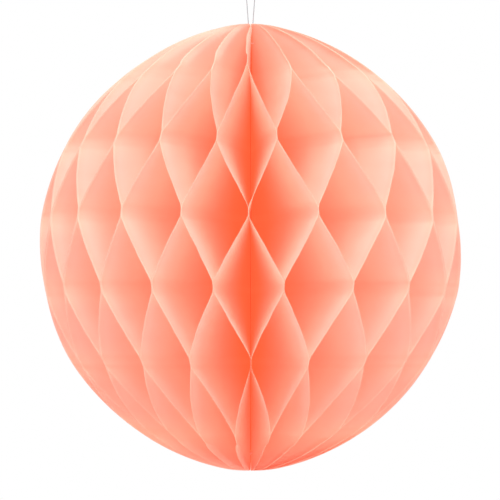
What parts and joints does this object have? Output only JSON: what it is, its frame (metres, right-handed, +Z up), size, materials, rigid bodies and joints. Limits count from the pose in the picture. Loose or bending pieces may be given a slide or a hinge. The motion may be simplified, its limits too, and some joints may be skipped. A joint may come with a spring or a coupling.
{
  "type": "paper honeycomb ball",
  "caption": "Round tissue-paper honeycomb ball that folds flat like a fan between two half-moon card covers and hangs from a thread loop.",
  "frame": {"origin": "the point inside the top of the thread loop where the hook bears", "axes": "+Z up along the ball's axis; the seam between the covers is towards +Y, and -Y is the front"},
  "size_m": [0.1874, 0.1873, 0.2323],
  "materials": {
    "tissue": "thin coral-peach tissue, translucent",
    "card": "matt coral card",
    "tape": "pale double-sided tape",
    "thread": "light grey twisted thread"
  },
  "bodies": {
    "fixed_cover": {"first_cover": "card", "seam_tape_1": "tape", "seam_tape_2": "tape", "seam_tape_3": "tape", "top_tie": "thread", "bottom_tie": "thread", "top_knot": "thread", "bottom_knot": "thread", "hanging_loop": "thread"},
    "moving_cover": {"last_cover": "card"},
    "sheet_01": {"tissue_sheet_01": "tissue"},
    "sheet_02": {"tissue_sheet_02": "tissue"},
    "sheet_03": {"tissue_sheet_03": "tissue"},
    "sheet_04": {"tissue_sheet_04": "tissue"},
    "sheet_05": {"tissue_sheet_05": "tissue"},
    "sheet_06": {"tissue_sheet_06": "tissue"},
    "sheet_07": {"tissue_sheet_07": "tissue"},
    "sheet_08": {"tissue_sheet_08": "tissue"},
    "sheet_09": {"tissue_sheet_09": "tissue"},
    "sheet_10": {"tissue_sheet_10": "tissue"},
    "sheet_11": {"tissue_sheet_11": "tissue"},
    "sheet_12": {"tissue_sheet_12": "tissue"},
    "sheet_13": {"tissue_sheet_13": "tissue"},
    "sheet_14": {"tissue_sheet_14": "tissue"},
    "sheet_15": {"tissue_sheet_15": "tissue"},
    "sheet_16": {"tissue_sheet_16": "tissue"},
    "sheet_17": {"tissue_sheet_17": "tissue"},
    "sheet_18": {"tissue_sheet_18": "tissue"},
    "sheet_19": {"tissue_sheet_19": "tissue"},
    "sheet_20": {"tissue_sheet_20": "tissue"},
    "sheet_21": {"tissue_sheet_21": "tissue"},
    "sheet_22": {"tissue_sheet_22": "tissue"},
    "sheet_23": {"tissue_sheet_23": "tissue"},
    "sheet_24": {"tissue_sheet_24": "tissue"},
    "sheet_25": {"tissue_sheet_25": "tissue"},
    "sheet_26": {"tissue_sheet_26": "tissue"},
    "sheet_27": {"tissue_sheet_27": "tissue"},
    "sheet_28": {"tissue_sheet_28": "tissue"},
    "sheet_29": {"tissue_sheet_29": "tissue"},
    "sheet_30": {"tissue_sheet_30": "tissue"},
    "sheet_31": {"tissue_sheet_31": "tissue"},
    "sheet_32": {"tissue_sheet_32": "tissue"},
    "sheet_33": {"tissue_sheet_33": "tissue"},
    "sheet_34": {"tissue_sheet_34": "tissue"},
    "sheet_35": {"tissue_sheet_35": "tissue"},
    "sheet_36": {"tissue_sheet_36": "tissue"},
    "sheet_37": {"tissue_sheet_37": "tissue"},
    "sheet_38": {"tissue_sheet_38": "tissue"},
    "sheet_39": {"tissue_sheet_39": "tissue"},
    "sheet_40": {"tissue_sheet_40": "tissue"}
  },
  "joints": [
    {"name": "fan_fold", "type": "hinge", "parent": "fixed_cover", "child": "moving_cover", "pos_m": [0, 0, -0.132], "axis": [0, 0, 1], "range_deg": [-352, 0]},
    {"name": "sheet_turn_01", "type": "hinge", "parent": "fixed_cover", "child": "sheet_01", "pos_m": [0, 0, -0.132], "axis": [0, 0, 1], "range_deg": [-4.95, 0.5], "deforming": ["tissue_sheet_01"]},
    {"name": "sheet_turn_02", "type": "hinge", "parent": "fixed_cover", "child": "sheet_02", "pos_m": [0, 0, -0.132], "axis": [0, 0, 1], "range_deg": [-13.96, 0.5], "deforming": ["tissue_sheet_02"]},
    {"name": "sheet_turn_03", "type": "hinge", "parent": "fixed_cover", "child": "sheet_03", "pos_m": [0, 0, -0.132], "axis": [0, 0, 1], "range_deg": [-23.15, 0.5], "deforming": ["tissue_sheet_03"]},
    {"name": "sheet_turn_04", "type": "hinge", "parent": "fixed_cover", "child": "sheet_04", "pos_m": [0, 0, -0.132], "axis": [0, 0, 1], "range_deg": [-32.49, 0.5], "deforming": ["tissue_sheet_04"]},
    {"name": "sheet_turn_05", "type": "hinge", "parent": "fixed_cover", "child": "sheet_05", "pos_m": [0, 0, -0.132], "axis": [0, 0, 1], "range_deg": [-41.92, 0.5], "deforming": ["tissue_sheet_05"]},
    {"name": "sheet_turn_06", "type": "hinge", "parent": "fixed_cover", "child": "sheet_06", "pos_m": [0, 0, -0.132], "axis": [0, 0, 1], "range_deg": [-51.38, 0.5], "deforming": ["tissue_sheet_06"]},
    {"name": "sheet_turn_07", "type": "hinge", "parent": "fixed_cover", "child": "sheet_07", "pos_m": [0, 0, -0.132], "axis": [0, 0, 1], "range_deg": [-60.81, 0.5], "deforming": ["tissue_sheet_07"]},
    {"name": "sheet_turn_08", "type": "hinge", "parent": "fixed_cover", "child": "sheet_08", "pos_m": [0, 0, -0.132], "axis": [0, 0, 1], "range_deg": [-70.15, 0.5], "deforming": ["tissue_sheet_08"]},
    {"name": "sheet_turn_09", "type": "hinge", "parent": "fixed_cover", "child": "sheet_09", "pos_m": [0, 0, -0.132], "axis": [0, 0, 1], "range_deg": [-79.34, 0.5], "deforming": ["tissue_sheet_09"]},
    {"name": "sheet_turn_10", "type": "hinge", "parent": "fixed_cover", "child": "sheet_10", "pos_m": [0, 0, -0.132], "axis": [0, 0, 1], "range_deg": [-88.35, 0.5], "deforming": ["tissue_sheet_10"]},
    {"name": "sheet_turn_11", "type": "hinge", "parent": "fixed_cover", "child": "sheet_11", "pos_m": [0, 0, -0.132], "axis": [0, 0, 1], "range_deg": [-97.15, 0.5], "deforming": ["tissue_sheet_11"]},
    {"name": "sheet_turn_12", "type": "hinge", "parent": "fixed_cover", "child": "sheet_12", "pos_m": [0, 0, -0.132], "axis": [0, 0, 1], "range_deg": [-105.74, 0.5], "deforming": ["tissue_sheet_12"]},
    {"name": "sheet_turn_13", "type": "hinge", "parent": "fixed_cover", "child": "sheet_13", "pos_m": [0, 0, -0.132], "axis": [0, 0, 1], "range_deg": [-114.15, 0.5], "deforming": ["tissue_sheet_13"]},
    {"name": "sheet_turn_14", "type": "hinge", "parent": "fixed_cover", "child": "sheet_14", "pos_m": [0, 0, -0.132], "axis": [0, 0, 1], "range_deg": [-122.41, 0.5], "deforming": ["tissue_sheet_14"]},
    {"name": "sheet_turn_15", "type": "hinge", "parent": "fixed_cover", "child": "sheet_15", "pos_m": [0, 0, -0.132], "axis": [0, 0, 1], "range_deg": [-130.58, 0.5], "deforming": ["tissue_sheet_15"]},
    {"name": "sheet_turn_16", "type": "hinge", "parent": "fixed_cover", "child": "sheet_16", "pos_m": [0, 0, -0.132], "axis": [0, 0, 1], "range_deg": [-138.72, 0.5], "deforming": ["tissue_sheet_16"]},
    {"name": "sheet_turn_17", "type": "hinge", "parent": "fixed_cover", "child": "sheet_17", "pos_m": [0, 0, -0.132], "axis": [0, 0, 1], "range_deg": [-146.89, 0.5], "deforming": ["tissue_sheet_17"]},
    {"name": "sheet_turn_18", "type": "hinge", "parent": "fixed_cover", "child": "sheet_18", "pos_m": [0, 0, -0.132], "axis": [0, 0, 1], "range_deg": [-155.15, 0.5], "deforming": ["tissue_sheet_18"]},
    {"name": "sheet_turn_19", "type": "hinge", "parent": "fixed_cover", "child": "sheet_19", "pos_m": [0, 0, -0.132], "axis": [0, 0, 1], "range_deg": [-163.56, 0.5], "deforming": ["tissue_sheet_19"]},
    {"name": "sheet_turn_20", "type": "hinge", "parent": "fixed_cover", "child": "sheet_20", "pos_m": [0, 0, -0.132], "axis": [0, 0, 1], "range_deg": [-172.15, 0.5], "deforming": ["tissue_sheet_20"]},
    {"name": "sheet_turn_21", "type": "hinge", "parent": "fixed_cover", "child": "sheet_21", "pos_m": [0, 0, -0.132], "axis": [0, 0, 1], "range_deg": [-180.95, 0.5], "deforming": ["tissue_sheet_21"]},
    {"name": "sheet_turn_22", "type": "hinge", "parent": "fixed_cover", "child": "sheet_22", "pos_m": [0, 0, -0.132], "axis": [0, 0, 1], "range_deg": [-189.96, 0.5], "deforming": ["tissue_sheet_22"]},
    {"name": "sheet_turn_23", "type": "hinge", "parent": "fixed_cover", "child": "sheet_23", "pos_m": [0, 0, -0.132], "axis": [0, 0, 1], "range_deg": [-199.15, 0.5], "deforming": ["tissue_sheet_23"]},
    {"name": "sheet_turn_24", "type": "hinge", "parent": "fixed_cover", "child": "sheet_24", "pos_m": [0, 0, -0.132], "axis": [0, 0, 1], "range_deg": [-208.49, 0.5], "deforming": ["tissue_sheet_24"]},
    {"name": "sheet_turn_25", "type": "hinge", "parent": "fixed_cover", "child": "sheet_25", "pos_m": [0, 0, -0.132], "axis": [0, 0, 1], "range_deg": [-217.92, 0.5], "deforming": ["tissue_sheet_25"]},
    {"name": "sheet_turn_26", "type": "hinge", "parent": "fixed_cover", "child": "sheet_26", "pos_m": [0, 0, -0.132], "axis": [0, 0, 1], "range_deg": [-227.38, 0.5], "deforming": ["tissue_sheet_26"]},
    {"name": "sheet_turn_27", "type": "hinge", "parent": "fixed_cover", "child": "sheet_27", "pos_m": [0, 0, -0.132], "axis": [0, 0, 1], "range_deg": [-236.81, 0.5], "deforming": ["tissue_sheet_27"]},
    {"name": "sheet_turn_28", "type": "hinge", "parent": "fixed_cover", "child": "sheet_28", "pos_m": [0, 0, -0.132], "axis": [0, 0, 1], "range_deg": [-246.15, 0.5], "deforming": ["tissue_sheet_28"]},
    {"name": "sheet_turn_29", "type": "hinge", "parent": "fixed_cover", "child": "sheet_29", "pos_m": [0, 0, -0.132], "axis": [0, 0, 1], "range_deg": [-255.34, 0.5], "deforming": ["tissue_sheet_29"]},
    {"name": "sheet_turn_30", "type": "hinge", "parent": "fixed_cover", "child": "sheet_30", "pos_m": [0, 0, -0.132], "axis": [0, 0, 1], "range_deg": [-264.35, 0.5], "deforming": ["tissue_sheet_30"]},
    {"name": "sheet_turn_31", "type": "hinge", "parent": "fixed_cover", "child": "sheet_31", "pos_m": [0, 0, -0.132], "axis": [0, 0, 1], "range_deg": [-273.15, 0.5], "deforming": ["tissue_sheet_31"]},
    {"name": "sheet_turn_32", "type": "hinge", "parent": "fixed_cover", "child": "sheet_32", "pos_m": [0, 0, -0.132], "axis": [0, 0, 1], "range_deg": [-281.74, 0.5], "deforming": ["tissue_sheet_32"]},
    {"name": "sheet_turn_33", "type": "hinge", "parent": "fixed_cover", "child": "sheet_33", "pos_m": [0, 0, -0.132], "axis": [0, 0, 1], "range_deg": [-290.15, 0.5], "deforming": ["tissue_sheet_33"]},
    {"name": "sheet_turn_34", "type": "hinge", "parent": "fixed_cover", "child": "sheet_34", "pos_m": [0, 0, -0.132], "axis": [0, 0, 1], "range_deg": [-298.41, 0.5], "deforming": ["tissue_sheet_34"]},
    {"name": "sheet_turn_35", "type": "hinge", "parent": "fixed_cover", "child": "sheet_35", "pos_m": [0, 0, -0.132], "axis": [0, 0, 1], "range_deg": [-306.58, 0.5], "deforming": ["tissue_sheet_35"]},
    {"name": "sheet_turn_36", "type": "hinge", "parent": "fixed_cover", "child": "sheet_36", "pos_m": [0, 0, -0.132], "axis": [0, 0, 1], "range_deg": [-314.72, 0.5], "deforming": ["tissue_sheet_36"]},
    {"name": "sheet_turn_37", "type": "hinge", "parent": "fixed_cover", "child": "sheet_37", "pos_m": [0, 0, -0.132], "axis": [0, 0, 1], "range_deg": [-322.89, 0.5], "deforming": ["tissue_sheet_37"]},
    {"name": "sheet_turn_38", "type": "hinge", "parent": "fixed_cover", "child": "sheet_38", "pos_m": [0, 0, -0.132], "axis": [0, 0, 1], "range_deg": [-331.15, 0.5], "deforming": ["tissue_sheet_38"]},
    {"name": "sheet_turn_39", "type": "hinge", "parent": "fixed_cover", "child": "sheet_39", "pos_m": [0, 0, -0.132], "axis": [0, 0, 1], "range_deg": [-339.56, 0.5], "deforming": ["tissue_sheet_39"]},
    {"name": "sheet_turn_40", "type": "hinge", "parent": "fixed_cover", "child": "sheet_40", "pos_m": [0, 0, -0.132], "axis": [0, 0, 1], "range_deg": [-348.15, 0.5], "deforming": ["tissue_sheet_40"]}
  ],
  "couplings": [
    {"joint": "sheet_turn_01", "follows": "fan_fold", "ratio": 0.012649},
    {"joint": "sheet_turn_02", "follows": "fan_fold", "ratio": 0.038233},
    {"joint": "sheet_turn_03", "follows": "fan_fold", "ratio": 0.064342},
    {"joint": "sheet_turn_04", "follows": "fan_fold", "ratio": 0.090869},
    {"joint": "sheet_turn_05", "follows": "fan_fold", "ratio": 0.11766},
    {"joint": "sheet_turn_06", "follows": "fan_fold", "ratio": 0.14455},
    {"joint": "sheet_turn_07", "follows": "fan_fold", "ratio": 0.17135},
    {"joint": "sheet_turn_08", "follows": "fan_fold", "ratio": 0.19787},
    {"joint": "sheet_turn_09", "follows": "fan_fold", "ratio": 0.22398},
    {"joint": "sheet_turn_10", "follows": "fan_fold", "ratio": 0.24957},
    {"joint": "sheet_turn_11", "follows": "fan_fold", "ratio": 0.27457},
    {"joint": "sheet_turn_12", "follows": "fan_fold", "ratio": 0.29898},
    {"joint": "sheet_turn_13", "follows": "fan_fold", "ratio": 0.32287},
    {"joint": "sheet_turn_14", "follows": "fan_fold", "ratio": 0.34635},
    {"joint": "sheet_turn_15", "follows": "fan_fold", "ratio": 0.36955},
    {"joint": "sheet_turn_16", "follows": "fan_fold", "ratio": 0.39266},
    {"joint": "sheet_turn_17", "follows": "fan_fold", "ratio": 0.41587},
    {"joint": "sheet_turn_18", "follows": "fan_fold", "ratio": 0.43934},
    {"joint": "sheet_turn_19", "follows": "fan_fold", "ratio": 0.46323},
    {"joint": "sheet_turn_20", "follows": "fan_fold", "ratio": 0.48765},
    {"joint": "sheet_turn_21", "follows": "fan_fold", "ratio": 0.51265},
    {"joint": "sheet_turn_22", "follows": "fan_fold", "ratio": 0.53823},
    {"joint": "sheet_turn_23", "follows": "fan_fold", "ratio": 0.56434},
    {"joint": "sheet_turn_24", "follows": "fan_fold", "ratio": 0.59087},
    {"joint": "sheet_turn_25", "follows": "fan_fold", "ratio": 0.61766},
    {"joint": "sheet_turn_26", "follows": "fan_fold", "ratio": 0.64455},
    {"joint": "sheet_turn_27", "follows": "fan_fold", "ratio": 0.67135},
    {"joint": "sheet_turn_28", "follows": "fan_fold", "ratio": 0.69787},
    {"joint": "sheet_turn_29", "follows": "fan_fold", "ratio": 0.72398},
    {"joint": "sheet_turn_30", "follows": "fan_fold", "ratio": 0.74957},
    {"joint": "sheet_turn_31", "follows": "fan_fold", "ratio": 0.77457},
    {"joint": "sheet_turn_32", "follows": "fan_fold", "ratio": 0.79898},
    {"joint": "sheet_turn_33", "follows": "fan_fold", "ratio": 0.82287},
    {"joint": "sheet_turn_34", "follows": "fan_fold", "ratio": 0.84635},
    {"joint": "sheet_turn_35", "follows": "fan_fold", "ratio": 0.86955},
    {"joint": "sheet_turn_36", "follows": "fan_fold", "ratio": 0.89266},
    {"joint": "sheet_turn_37", "follows": "fan_fold", "ratio": 0.91587},
    {"joint": "sheet_turn_38", "follows": "fan_fold", "ratio": 0.93934},
    {"joint": "sheet_turn_39", "follows": "fan_fold", "ratio": 0.96323},
    {"joint": "sheet_turn_40", "follows": "fan_fold", "ratio": 0.98765}
  ]
}
